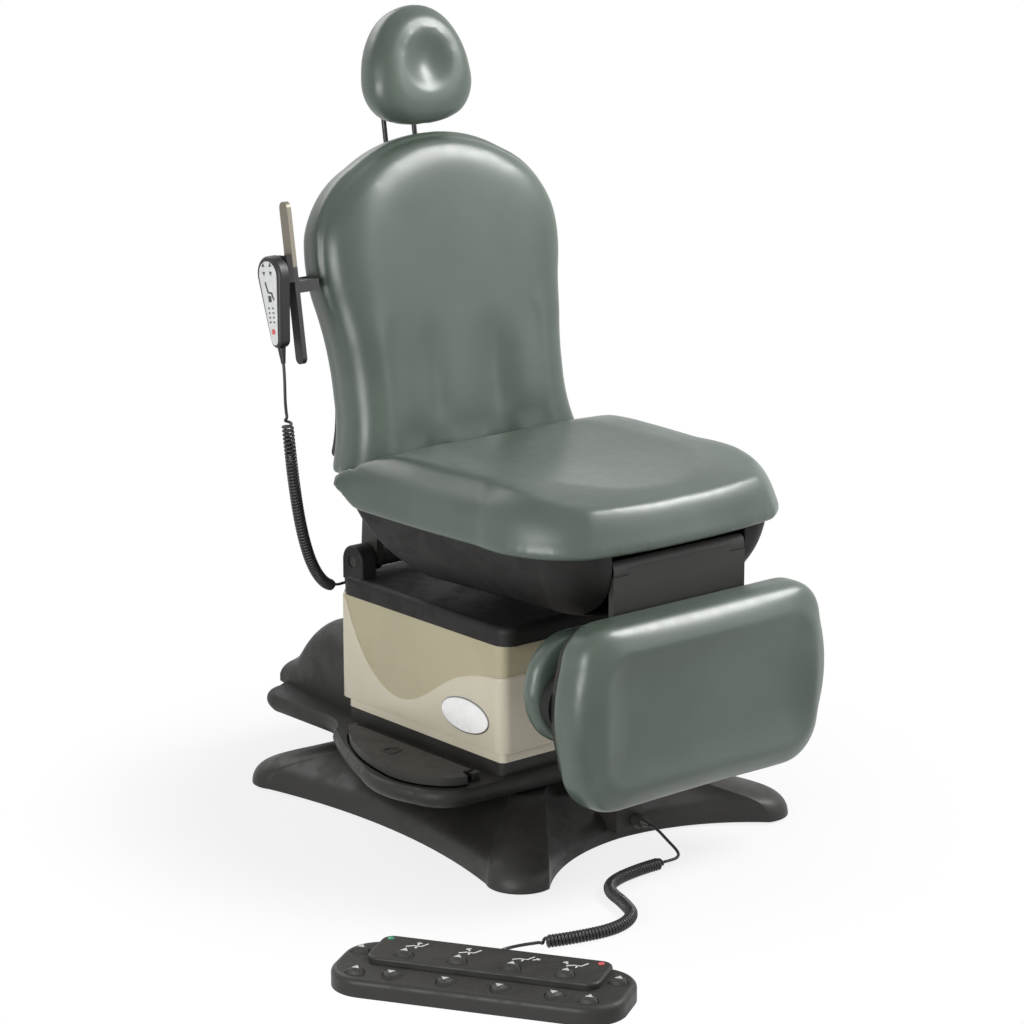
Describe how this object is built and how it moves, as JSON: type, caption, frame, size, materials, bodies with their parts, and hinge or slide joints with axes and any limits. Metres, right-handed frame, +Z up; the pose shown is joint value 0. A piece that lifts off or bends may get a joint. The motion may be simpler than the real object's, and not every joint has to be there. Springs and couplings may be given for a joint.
{
  "type": "powered procedure chair",
  "caption": "Powered procedure chair with padded seat, reclining back, headrest and raising foot section on a lifting pedestal, with a handset and a floor foot control on curly cords.",
  "frame": {"origin": "on the floor, under the turntable's axis", "axes": "+Z up, -Y the way the patient faces, +X the patient's left"},
  "size_m": [1.0503, 1.25, 1.2631],
  "materials": {
    "vinyl": "satin upholstery vinyl over foam",
    "beige": "smooth moulded plastic",
    "charcoal": "fine-grained moulded plastic",
    "black_metal": "satin black powder coat",
    "steel": "ground steel",
    "alloy": "satin anodised",
    "cord": "satin black sheath",
    "foot_rubber": "matt rubber"
  },
  "bodies": {
    "base": {"base_frame": "black_metal", "base_cover": "charcoal", "levelling_feet": "foot_rubber", "slew_ring": "steel", "foot_socket": "charcoal", "foot_plug": "charcoal", "foot_cord_leads": "cord", "foot_cord_curl": "cord", "foot_control_housing": "charcoal"},
    "turntable": {"turntable_plate": "black_metal", "deck_cover": "charcoal", "power_inlet": "charcoal", "lift_column_lower": "steel", "shroud_lower": "beige", "lift_motor": "black_metal"},
    "pedal_right": {"brake_pedal_right": "charcoal"},
    "pedal_left": {"brake_pedal_left": "charcoal"},
    "lift_stage": {"lift_column_middle": "steel", "shroud_middle": "beige"},
    "carriage": {"lift_column_upper": "steel", "shroud_upper": "beige", "top_cover": "black_metal", "tilt_actuator": "black_metal"},
    "tilt_rod": {"tilt_rod": "steel"},
    "seat": {"seat_frame": "black_metal", "seat_pan": "charcoal", "seat_cushion": "vinyl", "seat_actuators": "black_metal", "handset_socket": "charcoal", "handset_cord_leads": "cord", "handset_cord_curl": "cord"},
    "back_rod": {"back_rod": "steel"},
    "foot_rod": {"foot_rod": "steel"},
    "back": {"back_frame": "black_metal", "back_cushion": "vinyl", "headrest_guides": "charcoal", "accessory_rail": "alloy", "handset_cradle": "charcoal"},
    "headrest_slide": {"headrest_rods": "steel"},
    "headrest": {"headrest_pad": "vinyl", "headrest_bracket": "black_metal"},
    "handset": {"handset_shell": "charcoal", "handset_strain_relief": "cord"},
    "foot": {"foot_frame": "black_metal", "foot_shell": "charcoal", "foot_cushion": "vinyl"},
    "foot_extension": {"extension_pad": "vinyl", "extension_rails": "steel"},
    "button_up_1": {"button_up_1": "charcoal"},
    "button_up_2": {"button_up_2": "charcoal"},
    "button_up_3": {"button_up_3": "charcoal"},
    "button_up_4": {"button_up_4": "charcoal"},
    "button_down_1": {"button_down_1": "charcoal"},
    "button_down_2": {"button_down_2": "charcoal"},
    "button_down_3": {"button_down_3": "charcoal"},
    "button_down_4": {"button_down_4": "charcoal"},
    "button_left_rear": {"button_left_rear": "charcoal"},
    "button_left_front": {"button_left_front": "charcoal"},
    "button_right_rear": {"button_right_rear": "charcoal"},
    "button_right_front": {"button_right_front": "charcoal"}
  },
  "joints": [
    {"name": "turntable_turn", "type": "hinge", "parent": "base", "child": "turntable", "pos_m": [0, 0, 0.094], "axis": [0, 0, 1], "range_deg": [-160, 160]},
    {"name": "lift", "type": "slide", "parent": "turntable", "child": "carriage", "axis": [0, 0, 1], "range_m": [0, 0.31]},
    {"name": "lift_stage_slide", "type": "slide", "parent": "turntable", "child": "lift_stage", "axis": [0, 0, 1], "range_m": [0, 0.155]},
    {"name": "brake_right", "type": "hinge", "parent": "turntable", "child": "pedal_right", "pos_m": [-0.224, 0, 0.132], "axis": [0, -1, 0], "range_deg": [0, 5], "stiffness_Nm_per_rad": 60, "springref_deg": -2.86},
    {"name": "brake_left", "type": "hinge", "parent": "turntable", "child": "pedal_left", "pos_m": [0.224, 0, 0.132], "axis": [0, 1, 0], "range_deg": [0, 5], "stiffness_Nm_per_rad": 60, "springref_deg": -2.86},
    {"name": "seat_tilt", "type": "hinge", "parent": "carriage", "child": "seat", "pos_m": [0, 0.174, 0.393], "axis": [-1, 0, 0], "range_deg": [0, 25]},
    {"name": "tilt_rod_slide", "type": "slide", "parent": "carriage", "child": "tilt_rod", "axis": [0, 0, 1], "range_m": [0, 0.1475]},
    {"name": "back_recline", "type": "hinge", "parent": "seat", "child": "back", "pos_m": [0, 0.165, 0.5], "axis": [-1, 0, 0], "range_deg": [0, 80], "deforming": ["handset_cord_curl", "handset_cord_leads"]},
    {"name": "back_rod_slide", "type": "slide", "parent": "seat", "child": "back_rod", "axis": [0, -1, 0], "range_m": [0, 0.0645]},
    {"name": "foot_raise", "type": "hinge", "parent": "seat", "child": "foot", "pos_m": [0, -0.3715, 0.4835], "axis": [-1, 0, 0], "range_deg": [0, 90]},
    {"name": "foot_rod_slide", "type": "slide", "parent": "seat", "child": "foot_rod", "axis": [0, -1, 0], "range_m": [0, 0.064]},
    {"name": "foot_extend", "type": "slide", "parent": "foot", "child": "foot_extension", "axis": [0, 0, -1], "range_m": [0, 0.1]},
    {"name": "headrest_height", "type": "slide", "parent": "back", "child": "headrest_slide", "axis": [0, 0.1564, 0.9877], "range_m": [0, 0.1]},
    {"name": "headrest_tilt", "type": "hinge", "parent": "headrest_slide", "child": "headrest", "pos_m": [0, 0.29188, 1.12579], "axis": [-1, 0, 0], "range_deg": [0, 30]},
    {"name": "handset_lift_off", "type": "slide", "parent": "back", "child": "handset", "axis": [0, 0.1564, 0.9877], "range_m": [0, 0.015], "deforming": ["handset_cord_curl", "handset_cord_leads"]},
    {"name": "button_up_1_press", "type": "slide", "parent": "base", "child": "button_up_1", "axis": [0, 0, -1], "range_m": [0, 0.0025], "stiffness_N_per_m": 800, "springref_m": -0.001},
    {"name": "button_up_2_press", "type": "slide", "parent": "base", "child": "button_up_2", "axis": [0, 0, -1], "range_m": [0, 0.0025], "stiffness_N_per_m": 800, "springref_m": -0.001},
    {"name": "button_up_3_press", "type": "slide", "parent": "base", "child": "button_up_3", "axis": [0, 0, -1], "range_m": [0, 0.0025], "stiffness_N_per_m": 800, "springref_m": -0.001},
    {"name": "button_up_4_press", "type": "slide", "parent": "base", "child": "button_up_4", "axis": [0, 0, -1], "range_m": [0, 0.0025], "stiffness_N_per_m": 800, "springref_m": -0.001},
    {"name": "button_down_1_press", "type": "slide", "parent": "base", "child": "button_down_1", "axis": [0, 0, -1], "range_m": [0, 0.0025], "stiffness_N_per_m": 800, "springref_m": -0.001},
    {"name": "button_down_2_press", "type": "slide", "parent": "base", "child": "button_down_2", "axis": [0, 0, -1], "range_m": [0, 0.0025], "stiffness_N_per_m": 800, "springref_m": -0.001},
    {"name": "button_down_3_press", "type": "slide", "parent": "base", "child": "button_down_3", "axis": [0, 0, -1], "range_m": [0, 0.0025], "stiffness_N_per_m": 800, "springref_m": -0.001},
    {"name": "button_down_4_press", "type": "slide", "parent": "base", "child": "button_down_4", "axis": [0, 0, -1], "range_m": [0, 0.0025], "stiffness_N_per_m": 800, "springref_m": -0.001},
    {"name": "button_left_rear_press", "type": "slide", "parent": "base", "child": "button_left_rear", "axis": [0, 0, -1], "range_m": [0, 0.0025], "stiffness_N_per_m": 800, "springref_m": -0.001},
    {"name": "button_left_front_press", "type": "slide", "parent": "base", "child": "button_left_front", "axis": [0, 0, -1], "range_m": [0, 0.0025], "stiffness_N_per_m": 800, "springref_m": -0.001},
    {"name": "button_right_rear_press", "type": "slide", "parent": "base", "child": "button_right_rear", "axis": [0, 0, -1], "range_m": [0, 0.0025], "stiffness_N_per_m": 800, "springref_m": -0.001},
    {"name": "button_right_front_press", "type": "slide", "parent": "base", "child": "button_right_front", "axis": [0, 0, -1], "range_m": [0, 0.0025], "stiffness_N_per_m": 800, "springref_m": -0.001}
  ],
  "couplings": [
    {"joint": "lift_stage_slide", "follows": "lift", "ratio": 0.5},
    {"joint": "tilt_rod_slide", "follows": "seat_tilt", "m_per_rad": 0.337},
    {"joint": "back_rod_slide", "follows": "back_recline", "m_per_rad": 0.046},
    {"joint": "foot_rod_slide", "follows": "foot_raise", "m_per_rad": 0.0405}
  ]
}
